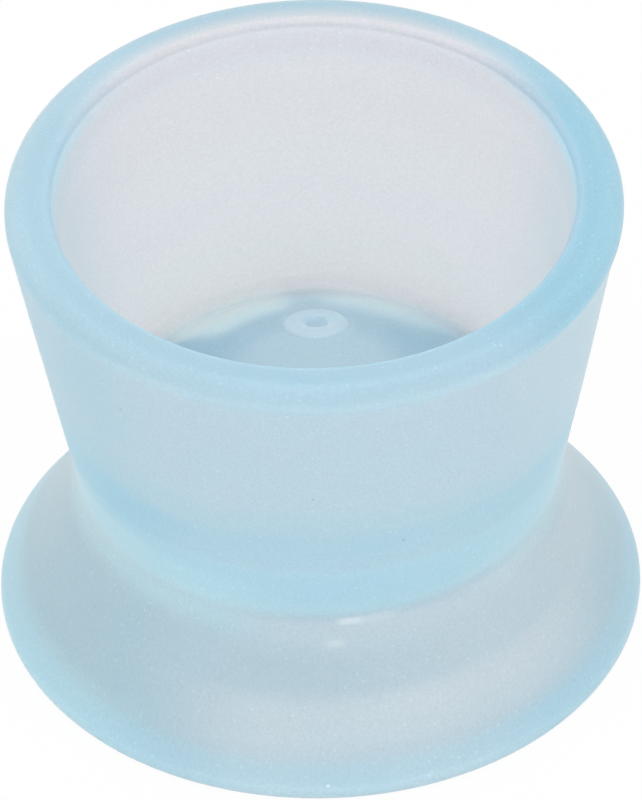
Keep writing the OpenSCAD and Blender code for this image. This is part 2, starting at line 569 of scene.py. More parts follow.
@dataclass
class CupSkin:
    """The cup's seamless skin: the section turned about the axis, with the mould's mark.

    Attributes:
        section: The half section.
        segments: Steps round the axis.
        mark_r: Radius of the raised disc on the floor.
        mark_height: Height of the disc.
        mark_slope: Width of the slope round it.
        mark_offset: Distance of the mark from the axis, towards +Y.
        dimple_r: Radius of the dimple in the disc.
        dimple_depth: Depth of the dimple.
        dull_from: Where the mark's dull ring starts to fade, as a share of the disc's flat radius.
        dull_to: Where it ends, as a share of the disc's radius.
        dimple_shine: How much of the dullness the dimple lacks.
        unevenness: How far the soft wall strays inwards from a true round.
        slow_noise: Scale of the noise that it follows.
        uneven_foot: Heights between which it sets in above the standing ring.
        uneven_rim: Heights between which it ends below the rim.
        step: How far the wall is tucked in under the rim's edge, on one side.
        step_top: Height of the edge that overhangs.
        step_soft: Height over which the wall goes in.
        step_fade: Heights between which the step fades out downwards.
        step_way: Direction from the axis to the middle of the step.
        step_end: Cosine of the angle from there at which the step ends.
        step_full: Cosine of the angle up to which it is whole.
        seed: Seed of the noise.
    """

    section: CupSection = field(default_factory=CupSection)
    segments: int = 288
    mark_r: float = 2.4 * MM
    mark_height: float = 0.2 * MM
    mark_slope: float = 0.35 * MM
    mark_offset: float = 5.9 * MM
    dimple_r: float = 1.0 * MM
    dimple_depth: float = 0.4 * MM
    dull_from: float = 0.8
    dull_to: float = 1.25
    dimple_shine: float = 0.42
    unevenness: float = 0.05 * MM
    slow_noise: float = 70.0
    uneven_foot: Spot = (1.5 * MM, 6 * MM)
    uneven_rim: Spot = (33 * MM, 35.5 * MM)
    step: float = 0.17 * MM
    step_top: float = 34.32 * MM
    step_soft: float = 0.5 * MM
    step_fade: Spot = (20 * MM, 33 * MM)
    step_way: Place = (1.0, -0.1, 0.0)
    step_end: float = 0.34
    step_full: float = 0.8
    seed: float = 7.0

    def outline(self) -> bpy.types.Object:
        """Makes the half section as a line of points that know their look.

        Returns:
            The outline's object, at the origin.
        """
        points: list[Place] = []
        looks: list[Key] = []
        inside: list[float] = []
        for stretch in self.section.stretches():
            count = len(stretch.points)
            for number, (x, z) in enumerate(stretch.points):
                if points and number == 0:
                    continue
                points.append((x, 0.0, z))
                looks.append(stretch.look(number / (count - 1)))
                inside.append(float(stretch.name in INSIDE))
        mesh = bpy.data.meshes.new("cup_outline")
        mesh.from_pydata(points, [(i, i + 1) for i in range(len(points) - 1)], [])
        for trait, values in (
            (Trait.DEPTH, [k.depth for k in looks]),
            (Trait.MILK, [k.milk for k in looks]),
            (Trait.GLOSS, [k.gloss for k in looks]),
            (Trait.INSIDE, inside),
        ):
            mesh.attributes.new(trait.value, "FLOAT", "POINT").data.foreach_set("value", values)
        skin = bpy.data.objects.new("silicone_cup", mesh)
        bpy.context.scene.collection.objects.link(skin)
        return skin

    def sizes(self, material: bpy.types.Material) -> dict[str, Any]:
        """Gathers what the tree needs to know.

        Args:
            material: The silicone.

        Returns:
            The value of each of the tree's inputs, by name.
        """
        tilt = math.asin(self.mark_offset / self.section.floor_r)
        normal = Vector((0, math.sin(tilt), math.cos(tilt)))
        dome_z = self.section.floor_h - self.section.floor_r
        return {
            "Segments": self.segments,
            "Mark Centre": Vector((0, 0, dome_z)) + normal * self.section.floor_r,
            "Mark Normal": normal,
            "Mark Radius": self.mark_r,
            "Mark Height": self.mark_height,
            "Mark Slope": self.mark_slope,
            "Dimple Radius": self.dimple_r,
            "Dimple Depth": self.dimple_depth,
            "Unevenness": self.unevenness,
            "Step": self.step,
            "Step Top": self.step_top,
            "Step Soft": self.step_soft,
            "Step Way": Vector(self.step_way).normalized(),
            "Step End": self.step_end,
            "Step Full": self.step_full,
            "Seed": self.seed,
            "Material": material,
        }

    def lathe(self, sizes: Mapping[str, Any]) -> bpy.types.NodeTree:
        """Builds the tree that turns the outline and raises the mark.

        Args:
            sizes: The value of each input.

        Returns:
            The geometry node tree.
        """
        graph, given = new_group(
            "Turned Cup", "GeometryNodeTree", {"Geometry": GEOMETRY, **sizes}, {"Geometry": GEOMETRY}
        )
        count = graph.add("GeometryNodeAttributeDomainSize", {"Geometry": given["Geometry"]})
        rings = count.outputs["Point Count"]
        around = graph.math("ADD", given["Segments"], 1)
        grid = graph.add("GeometryNodeMeshGrid", {"Vertices X": rings, "Vertices Y": around}).outputs["Mesh"]
        index = graph.add("GeometryNodeInputIndex").outputs["Index"]
        ring = graph.math("FLOOR", graph.math("DIVIDE", graph.math("ADD", index, 0.5), around))
        step = graph.less(index, graph.product(ring, around))
        angle = graph.product(graph.math("DIVIDE", step, given["Segments"]), 2 * math.pi)

        place = graph.position()
        source = self.sample(graph, given["Geometry"], ring, place, "FLOAT_VECTOR")
        parts = graph.add("ShaderNodeSeparateXYZ", {0: source}).outputs
        turned = graph.add(
            "ShaderNodeCombineXYZ",
            {
                "X": graph.product(parts["X"], graph.math("COSINE", angle)),
                "Y": graph.product(parts["X"], graph.math("SINE", angle)),
                "Z": parts["Z"],
            },
        ).outputs["Vector"]
        skin = grid
        for trait in (Trait.DEPTH, Trait.MILK, Trait.GLOSS, Trait.INSIDE):
            value = self.sample(graph, given["Geometry"], ring, graph.known(trait), "FLOAT")
            skin = self.store(graph, skin, trait, value)
        skin = graph.change("GeometryNodeSetPosition", skin, Position=turned)
        skin = graph.change("GeometryNodeMergeByDistance", skin, Distance=SEAM)
        for worked in (self.tucked, self.unevenly, self.marked):
            skin = worked(graph, skin, given)
        skin = graph.change("GeometryNodeSetShadeSmooth", skin)
        skin = graph.change("GeometryNodeRealizeInstances", skin)
        skin = graph.change("GeometryNodeSetMaterial", skin, Material=given["Material"])
        return graph.result({"Geometry": skin})

    @staticmethod
    def sample(graph: Graph, geometry: Socket, index: Socket, value: Socket, kind: str) -> Socket:
        """Reads a value of one of the outline's points.

        Args:
            graph: The tree.
            geometry: The outline.
            index: The point's number.
            value: What is read there.
            kind: Blender's name of the value's type.

        Returns:
            The value's socket.
        """
        node = graph.add("GeometryNodeSampleIndex", {"Geometry": geometry}, data_type=kind)
        graph.feed(node.inputs["Value"], value)
        graph.feed(node.inputs["Index"], index)
        return node.outputs["Value"]

    @staticmethod
    def store(graph: Graph, skin: Socket, trait: Trait, value: Socket) -> Socket:
        """Stores a value on the skin's points under a trait's name.

        Args:
            graph: The tree.
            skin: The skin.
            trait: The trait.
            value: Its value.

        Returns:
            The skin that knows the trait.
        """
        node = graph.add("GeometryNodeStoreNamedAttribute", {"Geometry": skin, "Name": trait.value})
        node.data_type = "FLOAT"
        graph.feed(node.inputs["Value"], value)
        return node.outputs["Geometry"]

    def tucked(self, graph: Graph, skin: Socket, given: Any) -> Socket:
        """Tucks the wall in under the rim's edge, by a small step that fades out downwards.

        Args:
            graph: The tree.
            skin: The turned skin.
            given: The group's input sockets.

        Returns:
            The skin with the step.
        """
        place = graph.position()
        height = graph.height(place)
        start = graph.less(given["Step Top"], given["Step Soft"])
        below = graph.ramp(height, start, given["Step Top"], 1.0, 0.0)
        above = graph.ramp(height, *self.step_fade)
        way = graph.vector("NORMALIZE", graph.flat(place)).outputs[0]
        turn = graph.vector("DOT_PRODUCT", way, given["Step Way"]).outputs["Value"]
        sector = graph.ramp(turn, given["Step End"], given["Step Full"])
        outside = graph.less(1, graph.known(Trait.INSIDE), clamp=True)
        amount = graph.product(below, above, sector, outside, given["Step"], -1)
        return graph.move(skin, way, amount)

    def unevenly(self, graph: Graph, skin: Socket, given: Any) -> Socket:
        """Moves the skin a little inwards, by a slow noise that leaves the standing ring flat.

        Args:
            graph: The tree.
            skin: The turned skin.
            given: The group's input sockets.

        Returns:
            The uneven skin.
        """
        place = graph.position()
        noise = graph.add(
            "ShaderNodeTexNoise",
            {"Vector": place, "W": given["Seed"], "Scale": self.slow_noise, "Detail": 1.0},
            noise_dimensions="4D",
        ).outputs[0]
        height = graph.height(place)
        above = graph.ramp(height, *self.uneven_foot)
        below = graph.ramp(height, *self.uneven_rim, 1.0, 0.0)
        amount = graph.product(noise, above, below, given["Unevenness"], -1)
        return graph.move(skin, graph.add("GeometryNodeInputNormal").outputs["Normal"], amount)

    def marked(self, graph: Graph, skin: Socket, given: Any) -> Socket:
        """Raises the mould's disc and sinks its dimple, and stores where they are.

        Args:
            graph: The tree.
            skin: The turned skin.
            given: The group's input sockets.

        Returns:
            The marked skin.
        """
        place = graph.position()
        away = graph.vector("DISTANCE", place, given["Mark Centre"]).outputs["Value"]
        foot = graph.less(given["Mark Radius"], given["Mark Slope"])
        disc = graph.ramp(away, foot, given["Mark Radius"], 1.0, 0.0)
        bowl = graph.math("POWER", graph.math("DIVIDE", away, given["Dimple Radius"]), 2)
        bowl = graph.less(1, bowl, clamp=True)
        sink = graph.product(bowl, given["Dimple Depth"])
        rise = graph.less(graph.product(disc, given["Mark Height"]), sink)
        near, far = graph.product(foot, self.dull_from), graph.product(given["Mark Radius"], self.dull_to)
        hole = graph.product(bowl, self.dimple_shine)
        dull = graph.less(graph.ramp(away, near, far, 1.0, 0.0), hole, clamp=True)
        return graph.move(self.store(graph, skin, Trait.MARK, dull), given["Mark Normal"], rise)

    def build(self, material: bpy.types.Material) -> bpy.types.Object:
        """Turns the outline into the finished, closed mesh.

        Args:
            material: The silicone.

        Returns:
            The skin's object, at the origin, with no modifier left.
        """
        skin = self.outline()
        sizes = self.sizes(material)
        modifier = skin.modifiers.new("turned_cup", "NODES")
        modifier.node_group = self.lathe(sizes)
        for item in modifier.node_group.interface.items_tree:
            if item.in_out == "INPUT" and item.name in sizes:
                modifier[item.identifier] = sizes[item.name]
        graph = bpy.context.evaluated_depsgraph_get()
        mesh = bpy.data.meshes.new_from_object(
            skin.evaluated_get(graph), preserve_all_data_layers=True, depsgraph=graph
        )
        skin.modifiers.clear()
        skin.data = mesh
        shell = bmesh.new()
        shell.from_mesh(mesh)
        bmesh.ops.recalc_face_normals(shell, faces=shell.faces)
        shell.to_mesh(mesh)
        shell.free()
        mesh.name = "silicone_cup"
        return skin


class Side(Enum):
    """The side of the rubber that a patch lies on: outside, on the bowl's wall or on its floor."""

    OUTSIDE = 0.0
    LINING = 1.0
    FLOOR = 2.0


# Colours that several soft patches take on: painted light gathered in the rubber, a painted crescent of
# bright lamp light, and painted shade
GLOW = linear(200, 240, 246)
BRIGHT = linear(224, 247, 252)
SHADE = linear(140, 172, 188)


@dataclass(frozen=True)
class Patch:
    """A soft patch where the rubber looks milkier, deeper or tinted; most patches are painted light or
    painted shade.

    Attributes:
        name: What the patch is.
        side: The side of the rubber that it lies on.
        bearing: Its direction from the axis in degrees: 0 is -Y, and 90 is +X.
        core: Half the angle that it fills.
        fade: The angle over which it fades at either end.
        low: Height where it is half faded below, in millimetres as all its lengths.
        high: Height where it is half faded above.
        soft: Height over which it fades.
        milk: How much milkier it is.
        depth: How much deeper it is.
        tint: Colour that it takes on.
        share: How much of that colour.
        reach: Distance from the axis at which it is half faded.
        reach_soft: Width over which it fades there.
        tight: How much less far light spreads in it, 0 to 1.
    """

    name: str
    side: Side
    bearing: float
    core: float
    fade: float
    low: float
    high: float
    soft: float
    milk: float = 0.0
    depth: float = 0.0
    tint: Colour = (0.0, 0.0, 0.0)
    share: float = 0.0
    reach: float = 1000.0
    reach_soft: float = 1.0
    tight: float = 0.0


@dataclass(frozen=True)
class PaintedGlint:
    """A painted highlight: a short bright line on the rubber, in millimetres.

    Attributes:
        centre: Its middle.
        half: The vector from the middle to one end.
        width: Half its width.
        strength: How white it is.
    """

    centre: Place
    half: Place
    width: float
    strength: float


@dataclass(frozen=True)
class Silicone:
    """Pale-blue translucent silicone, satin outside and polished on the floor inside.

    Attributes:
        thin: Colour where the rubber is thin.
        thick: Colour where it is thick.
        milky: Colour where it is full of light.
        floor_thin: Colour of the polished floor where it looks thin.
        floor_thick: Its colour where it looks thick.
        floor_pale: Its colour where light fills it.
        mark: Colour of the dull ring of the mould's mark.
        satin: Roughness outside.
        polished: Roughness of the floor.
        filled: Colour of the lining, which light from all sides fills.
        glint: Colour of the painted highlight lines.
        flake: Colour of the pearly flakes.
        dark_speck: Colour of the dark specks.
        light_speck: Colour of the light specks.
        mark_share: How much of its colour the mark's ring takes on.
        mark_dull: How much of the floor's polish the mark lacks.
        flake_share: How much of their colour the flakes take on.
        dark_share: How much of theirs the dark specks do.
        light_share: How much of theirs the light specks do.
        grain_size: Size of the pearly grain.
        grain_strength: How much the grain changes the colour.
        speck_spacing: Distance between specks.
        speck_size: Radius of a speck.
        drift_scale: Scale of the slow noise that changes depth and roughness.
        drift_range: Values of the noise between which the depth changes.
        drift_depth: How much it changes the depth.
        drift_rough: How much it changes the roughness.
        frost_scale: Scale of the fine relief that makes the satin.
        frost_height: Height of that relief.
        frost_strength: How much of it shows.
        frost_polish: How much of it the polish takes away.
        ior: Index of refraction.
        lining_spread: How far light spreads in the wall, as seen from inside the bowl.
        spread: How far it spreads elsewhere.
        spread_lip: Heights between which the lip goes from one to the other.
        patches: The soft patches, mostly painted light and painted shade.
        painted_glints: The painted highlights: short bright lines at the waist's crease and on the floor.
    """

    thin: Colour = linear(185, 204, 212)
    thick: Colour = linear(160, 207, 225)
    milky: Colour = linear(222, 224, 228)
    filled: Colour = linear(247, 244, 246)
    floor_thin: Colour = linear(203, 226, 237)
    floor_thick: Colour = linear(166, 206, 223)
    floor_pale: Colour = linear(218, 244, 252)
    mark: Colour = linear(215, 238, 250)
    satin: float = 0.36
    polished: float = 0.16
    glint: Colour = linear(238, 244, 246)
    flake: Colour = (0.75, 0.95, 1.0)
    dark_speck: Colour = linear(110, 130, 140)
    light_speck: Colour = linear(240, 246, 250)
    mark_share: float = 0.66
    mark_dull: float = 0.8
    flake_share: float = 0.22
    dark_share: float = 0.35
    light_share: float = 0.6
    grain_size: float = 0.2 * MM
    grain_strength: float = 0.2
    speck_spacing: float = 3.2 * MM
    speck_size: float = 0.16 * MM
    drift_scale: float = 90.0
    drift_range: Spot = (0.3, 0.7)
    drift_depth: float = 0.05
    drift_rough: float = 0.12
    frost_scale: float = 5200.0
    frost_height: float = 0.03 * MM
    frost_strength: float = 0.35
    frost_polish: float = 0.9
    ior: float = 1.41
    lining_spread: float = 14 * MM
    spread: float = 1.5 * MM
    spread_lip: Spot = (35.2 * MM, 35.8 * MM)
    patches: Sequence[Patch] = (
        # Painted shade: the rim is darker and bluer on its right side, where less light falls
        Patch("rim_right", Side.OUTSIDE, 88, 24, 32, 33.8, 40, 0.8, milk=-0.18),
        Patch("rim_right_edge", Side.OUTSIDE, 92, 30, 30, 34.2, 35.9, 0.4, milk=-0.18),
        Patch("rim_left", Side.OUTSIDE, -90, 30, 40, 34, 40, 0.6, milk=0.07),
        # Painted highlight: the back of the rim's face lightens towards its inner edge, where the front
        # lamp's reflection lies; painted shade dulls the rest of that face
        Patch("rim_back", Side.OUTSIDE, 180, 12, 32, 35.8, 40, 0.3, milk=0.05, tint=SHADE, share=0.14),
        Patch(
            "rim_back_inner", Side.OUTSIDE, 180, 20, 50, 35.8, 40, 0.3,
            milk=0.72, reach=19.0, reach_soft=1.8,
        ),
        # Painted shade: the rim's front edge is dulled where the lamps light it most
        Patch("rim_edge_front", Side.OUTSIDE, 0, 40, 40, 35.0, 35.9, 0.6, tint=SHADE, share=0.22),
        Patch("wall_left", Side.OUTSIDE, -80, 20, 30, 16, 35.6, 2, milk=-0.2),
        # Painted light: the skirt is lighter low down at the front, where light comes through from the table
        Patch("skirt_low", Side.OUTSIDE, 20, 22, 42, 2.8, 6.2, 1.8, milk=0.42),
        Patch("skirt_high", Side.OUTSIDE, 30, 34, 50, 6.0, 10.0, 1.2, milk=0.2),
        # Painted light: the band above the waist glows cyan where light catches it, most on its left flank
        Patch("waist_band", Side.OUTSIDE, 0, 80, 60, 12.3, 17.0, 1.0, tint=GLOW, share=0.15),
        Patch("waist_left", Side.OUTSIDE, -65, 30, 30, 10.4, 15.4, 1.6, tint=GLOW, share=0.24),
        Patch("waist_right", Side.OUTSIDE, 78, 22, 25, 10.8, 15.6, 1.6, tint=GLOW, share=0.16),
        # Painted shade: the dark hollow inside the foot shows through the thin skirt at the front
        Patch("skirt_hollow_shade", Side.OUTSIDE, 4, 10, 24, 6.4, 9.4, 1.6, tint=SHADE, share=0.1),
        Patch("waist_front", Side.OUTSIDE, 3, 15, 30, 16.6, 20.0, 1.2, milk=0.1),
        Patch("crease", Side.OUTSIDE, 24, 22, 30, 10.1, 11.7, 1.0, milk=0.2),
        Patch("skirt_right", Side.OUTSIDE, 52, 22, 36, 4.5, 11.0, 2.4, milk=0.12),
        # Painted shade: the wall is bluer on its far right, where less light falls
        Patch("wall_right", Side.OUTSIDE, 85, 18, 25, 14, 33, 2, milk=-0.1),
        Patch("foot_front", Side.OUTSIDE, 8, 14, 26, -1, 2.8, 1.0, milk=0.12),
        # Painted highlight: light on the foot's edge at the left
        Patch("foot_left", Side.OUTSIDE, -82, 18, 36, -1, 3.2, 1.6, tint=GLOW, share=0.22),
        # Painted highlight: the back of the lip is lighter where the front lamp's reflection lies along its
        # edge
        Patch("lip_back", Side.LINING, 180, 24, 36, 35.2, 40, 0.5, milk=0.1),
        Patch("lip_back_top", Side.LINING, 180, 24, 36, 35.6, 40, 0.3, milk=0.13),
        # Painted light on the lip's left side, which lifts the shade of its rounded edge
        Patch("lip_left", Side.LINING, -95, 50, 40, 35.6, 35.9, 0.16, tint=linear(235, 228, 230), share=0.18),
        # Painted shade: the lip is darker and bluer on its right side
        Patch("lip_right", Side.LINING, 84, 34, 30, 35.1, 40, 0.4, tint=linear(112, 190, 222), share=0.36),
        # Painted shade: the lining is darker towards its top, most at the back
        Patch(
            "lining_top", Side.LINING, 180, 44, 44, 33.8, 35.5, 0.9,
            tint=linear(200, 190, 196), share=0.24,
        ),
        # Painted light: the back of the lining is lighter and whiter, lit through the rubber from behind
        Patch("lining_back", Side.LINING, 180, 42, 40, 16.6, 40, 0.6, milk=0.26, depth=-0.6),
        Patch("lining_high", Side.LINING, 180, 90, 80, 27, 60, 18, tint=linear(190, 181, 187), share=0.36),
        Patch("lip", Side.LINING, 0, 100, 46, 34.7, 40, 1.2, tint=linear(169, 213, 234), share=0.6),
        # Painted light: bright crescents where the side lamps' light shows on the floor at the back left and
        # back right
        Patch(
            "floor_left", Side.FLOOR, -149, 11, 14, 14, 17.95, 0.9,
            milk=0.7, tint=BRIGHT, share=0.5, tight=0.9,
        ),
        Patch(
            "floor_left_edge", Side.FLOOR, -150, 11, 13, 13, 16.7, 1.0,
            tint=linear(236, 252, 255), share=0.8,
        ),
        # Painted shade beside the crescents, with the deeper blue of the thick floor
        Patch("floor_deep_shade_left", Side.FLOOR, -108, 18, 14, 12, 18.6, 0.8, milk=-0.5, depth=0.2),
        Patch(
            "floor_right", Side.FLOOR, 154, 12, 16, 14, 17.9, 1.1,
            milk=0.5, tint=BRIGHT, share=0.3, tight=0.9,
        ),
        # Painted shade beside the right crescent, with the deeper blue of the thick floor
        Patch("floor_deep_shade", Side.FLOOR, 122, 12, 20, 12, 18.6, 0.8, milk=-0.4, depth=0.2),
    )
    # Painted highlights: glints of lamp light at the waist's crease, and one on the floor
    painted_glints: Sequence[PaintedGlint] = (
        PaintedGlint((1.95, -16.47, 11.7), (1.2, 0.14, 0.0), 0.42, 0.46),
        PaintedGlint((3.9, -16.12, 11.75), (1.8, 0.44, 0.06), 0.5, 0.22),
        PaintedGlint((0.9, -17.03, 10.1), (1.0, 0.05, 0.0), 0.46, 0.26),
        PaintedGlint((-0.95, 9.3, 17.75), (0.32, 0.12, -0.05), 0.06, 0.8),
    )

    @staticmethod
    def pearl() -> bpy.types.NodeTree:
        """Makes the group for the fine pearly grain of the rubber.

        Returns:
            The shader group: a value about 1 that varies finely, and a mask of brighter flakes.
        """
        flake_core, flake_edge, rare = 0.15, 0.35, 0.9
        graph, given = new_group(
            "Pearl Grain",
            "ShaderNodeTree",
            {"Vector": VECTOR, "Grain Size": 0.15 * MM, "Strength": 0.05},
            {"Value": FLOAT, "Flakes": FLOAT},
        )
        scale = graph.math("DIVIDE", 1, given["Grain Size"])
        noise = graph.add("ShaderNodeTexNoise", {"Vector": given["Vector"], "Scale": scale, "Detail": 2.0})
        centred = graph.less(noise.outputs[0], NOISE_MEAN)
        value = graph.math("ADD", 1, graph.product(centred, given["Strength"]))
        spacing = graph.product(scale, 0.5)
        cells = graph.add("ShaderNodeTexVoronoi", {"Vector": given["Vector"], "Scale": spacing})
        chance = graph.add("ShaderNodeSeparateColor", {0: cells.outputs["Color"]}).outputs[0]
        near = graph.ramp(cells.outputs["Distance"], flake_core, flake_edge, 1.0, 0.0)
        flakes = graph.product(graph.math("GREATER_THAN", chance, rare), near)
        return graph.result({"Value": value, "Flakes": flakes})

    @staticmethod
    def specks() -> bpy.types.NodeTree:
        """Makes the group for the few specks of dust on the rubber.

        Returns:
            The shader group: a mask of dark specks, and one of light specks.
        """
        dark_above, light_below = 0.6, 0.25
        graph, given = new_group(
            "Dust Specks",
            "ShaderNodeTree",
            {"Vector": VECTOR, "Spacing": 3 * MM, "Speck Size": 0.1 * MM},
            {"Dark": FLOAT, "Light": FLOAT},
        )
        scale = graph.math("DIVIDE", 1, given["Spacing"])
        cells = graph.add("ShaderNodeTexVoronoi", {"Vector": given["Vector"], "Scale": scale})
        size = graph.product(given["Speck Size"], scale)
        near = graph.ramp(cells.outputs["Distance"], graph.product(size, 0.5), size, 1.0, 0.0)
        chance = graph.add("ShaderNodeSeparateColor", {0: cells.outputs["Color"]}).outputs[0]
        dark = graph.product(near, graph.math("GREATER_THAN", chance, dark_above))
        light = graph.product(near, graph.math("LESS_THAN", chance, light_below))
        return graph.result({"Dark": dark, "Light": light})

    @staticmethod
    def patch_mask() -> bpy.types.NodeTree:
        """Makes the group that masks one soft patch of the skin.

        Returns:
            The shader group: its mask is 1 in the patch and fades to 0 round it.
        """
        graph, given = new_group(
            "Soft Patch",
            "ShaderNodeTree",
            {
                "Vector": VECTOR,
                "Place Side": 0.0,
                "Side": 0.0,
                "Bearing": VECTOR,
                "Outer Cosine": 0.0,
                "Inner Cosine": 1.0,
                "Low": 0.0,
                "High": 1.0,
                "Soft": MM,
                "Reach": 1.0,
                "Reach Soft": MM,
            },
            {"Mask": FLOAT},
        )
        flat = graph.flat(given["Vector"])
        way = graph.vector("NORMALIZE", flat).outputs[0]
        turn = graph.vector("DOT_PRODUCT", way, given["Bearing"]).outputs["Value"]
        sector = graph.ramp(turn, given["Outer Cosine"], given["Inner Cosine"])
        height = graph.height(given["Vector"])
        rise = graph.edge(height, given["Low"], given["Soft"], 0.0, 1.0)
        fall = graph.edge(height, given["High"], given["Soft"], 1.0, 0.0)
        radius = graph.vector("LENGTH", flat).outputs["Value"]
        within = graph.edge(radius, given["Reach"], given["Reach Soft"], 1.0, 0.0)
        apart = graph.math("ABSOLUTE", graph.less(given["Place Side"], given["Side"]))
        side = graph.less(1, apart, clamp=True)
        return graph.result({"Mask": graph.product(sector, rise, fall, side, within)})

    @staticmethod
    def glint_mask() -> bpy.types.NodeTree:
        """Makes the group that masks one painted highlight, a short line on the skin.

        Returns:
            The shader group: its mask is 1 on the line and fades to 0 at its width.
        """
        tip, core = 0.3, 0.2
        graph, given = new_group(
            "PaintedGlint",
            "ShaderNodeTree",
            {"Vector": VECTOR, "Centre": VECTOR, "Half": VECTOR, "Width": 0.1 * MM},
            {"Mask": FLOAT},
        )
        offset = graph.vector("SUBTRACT", given["Vector"], given["Centre"]).outputs[0]
        along = graph.vector("DOT_PRODUCT", offset, given["Half"]).outputs["Value"]
        whole = graph.vector("DOT_PRODUCT", given["Half"], given["Half"]).outputs["Value"]
        share = graph.math("DIVIDE", along, whole)
        away = graph.vector("DISTANCE", offset, graph.scaled(given["Half"], share)).outputs["Value"]
        ends = graph.ramp(graph.math("ABSOLUTE", share), tip, 1.0, 1.0, 0.0)
        across = graph.ramp(graph.math("DIVIDE", away, given["Width"]), core, 1.0, 1.0, 0.0)
        return graph.result({"Mask": graph.product(ends, across)})

    def masks(self, graph: Graph, place: Socket, side: Socket) -> list[tuple[Patch, Socket]]:
        """Adds the masks of the soft patches.

        Args:
            graph: The material's tree.
            place: Where the shaded point is.
            side: Which side of the rubber it lies on.

        Returns:
            Each patch with its mask.
        """
        group = self.patch_mask()
        masks = []
        for patch in self.patches:
            bearing = math.radians(patch.bearing)
            wanted = {
                "Vector": place,
                "Place Side": side,
                "Side": patch.side.value,
                "Bearing": (math.sin(bearing), -math.cos(bearing), 0.0),
                "Outer Cosine": math.cos(math.radians(patch.core + patch.fade)),
                "Inner Cosine": math.cos(math.radians(patch.core)),
                "Low": patch.low * MM,
                "High": patch.high * MM,
                "Soft": patch.soft * MM,
                "Reach": patch.reach * MM,
                "Reach Soft": patch.reach_soft * MM,
            }
            masks.append((patch, graph.use(group, wanted, patch.name)["Mask"]))
        return masks

    @staticmethod
    def piled(graph: Graph, start: Value, shares: Iterable[tuple[Socket, float]]) -> Value:
        """Adds each mask's share to a start value, and keeps the sum within 0 to 1.

        Args:
            graph: The material's tree.
            start: The value without the masks.
            shares: Each mask with what it adds.

        Returns:
            The sum.
        """
        for mask, share in shares:
            if share:
                start = graph.math("ADD", start, graph.product(mask, share), clamp=True)
        return start

    def rubber(
        self,
        graph: Graph,
        trait: Mapping[Trait, Socket],
        drift: Socket,
        lining: Socket,
        masks: Sequence[tuple[Patch, Socket]],
    ) -> Socket:
        """Colours the rubber by its depth, by the light in it and by its patches of painted light and shade.

        Args:
            graph: The material's tree.
            trait: The socket of each trait.
            drift: The slow noise.
            lining: Mask of the bowl's inner wall.
            masks: The patches with their masks.

        Returns:
            The colour's socket.
        """
        floor = trait[Trait.GLOSS]
        slow = graph.ramp(drift, *self.drift_range, -self.drift_depth, self.drift_depth)
        depth = graph.math("ADD", trait[Trait.DEPTH], slow, clamp=True)
        depth = self.piled(graph, depth, ((mask, patch.depth) for patch, mask in masks))
        milk = self.piled(graph, trait[Trait.MILK], ((mask, patch.milk) for patch, mask in masks))
        colour = graph.blend(depth, self.thin, self.thick)
        colour = graph.blend(floor, colour, graph.blend(depth, self.floor_thin, self.floor_thick))
        filled = graph.blend(lining, graph.blend(floor, self.milky, self.floor_pale), self.filled)
        colour = graph.blend(milk, colour, filled)
        for patch, mask in masks:
            if patch.share:
                colour = graph.blend(graph.product(mask, patch.share), colour, patch.tint)
        return graph.blend(graph.product(trait[Trait.MARK], self.mark_share), colour, self.mark)

    def strewn(self, graph: Graph, place: Socket, colour: Socket) -> Socket:
        """Strews the grain, the flakes and the specks over the rubber, and paints the short bright highlight
        lines.

        Args:
            graph: The material's tree.
            place: Where the shaded point is.
            colour: The rubber's colour.

        Returns:
            The colour's socket.
        """
        wanted = {"Vector": place, "Grain Size": self.grain_size, "Strength": self.grain_strength}
        pearl = graph.use(self.pearl(), wanted)
        grain = graph.add("ShaderNodeCombineColor", {i: pearl["Value"] for i in range(3)}).outputs[0]
        colour = graph.blend(1.0, colour, grain, "MULTIPLY")
        colour = graph.blend(graph.product(pearl["Flakes"], self.flake_share), colour, self.flake)
        wanted = {"Vector": place, "Spacing": self.speck_spacing, "Speck Size": self.speck_size}
        specks = graph.use(self.specks(), wanted)
        colour = graph.blend(graph.product(specks["Dark"], self.dark_share), colour, self.dark_speck)
        colour = graph.blend(graph.product(specks["Light"], self.light_share), colour, self.light_speck)
        # Painted highlights: short white lines where lamp light glints
        line = self.glint_mask()
        for glint_line in self.painted_glints:
            wanted = {
                "Vector": place,
                "Centre": tuple(part * MM for part in glint_line.centre),
                "Half": tuple(part * MM for part in glint_line.half),
                "Width": glint_line.width * MM,
            }
            mask = graph.use(line, wanted)["Mask"]
            colour = graph.blend(graph.product(mask, glint_line.strength), colour, self.glint)
        return colour

    def material(self) -> bpy.types.Material:
        """Builds the silicone's material.

        Returns:
            The material.
        """
        material = bpy.data.materials.new("silicone")
        material.use_nodes = True
        graph = Graph(material.node_tree)
        place = graph.add("ShaderNodeTexCoord").outputs["Object"]
        trait = {
            t: graph.add("ShaderNodeAttribute", attribute_name=t.value).outputs["Fac"] for t in Trait
        }
        drift = graph.add(
            "ShaderNodeTexNoise", {"Vector": place, "Scale": self.drift_scale, "Detail": 2.0}
        ).outputs[0]
        floor = trait[Trait.GLOSS]
        lining = graph.product(trait[Trait.INSIDE], graph.less(1, floor))
        side = graph.product(trait[Trait.INSIDE], graph.math("ADD", 1, floor))
        masks = self.masks(graph, place, side)
        colour = self.rubber(graph, trait, drift, lining, masks)
        colour = self.strewn(graph, place, colour)

